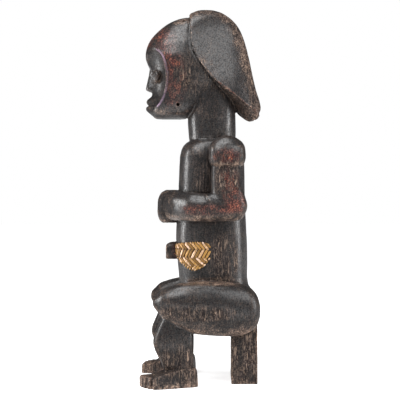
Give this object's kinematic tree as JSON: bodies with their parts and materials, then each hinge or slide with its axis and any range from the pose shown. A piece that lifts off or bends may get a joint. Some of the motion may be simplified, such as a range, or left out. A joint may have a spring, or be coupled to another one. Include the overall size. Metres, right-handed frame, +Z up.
{
  "type": "carved guardian figure",
  "caption": "Seated figure carved from dark wood: egg-shaped head under a helmet of hair, hands joined at the chest, feet and a post under the seat, with a plaited brass patch on the flank.",
  "frame": {"origin": "middle of the base, on the floor under the figure", "axes": "+Z up along the figure, -Y the way it faces, +X its left side"},
  "size_m": [0.1532, 0.1632, 0.5],
  "materials": {
    "dark_wood": "oiled and worn, with red pigment rubbed into the hollows",
    "plaited_brass": "worn bright"
  },
  "bodies": {
    "root": {"carved_figure": "dark_wood", "brass_patch": "plaited_brass"}
  },
  "joints": []
}
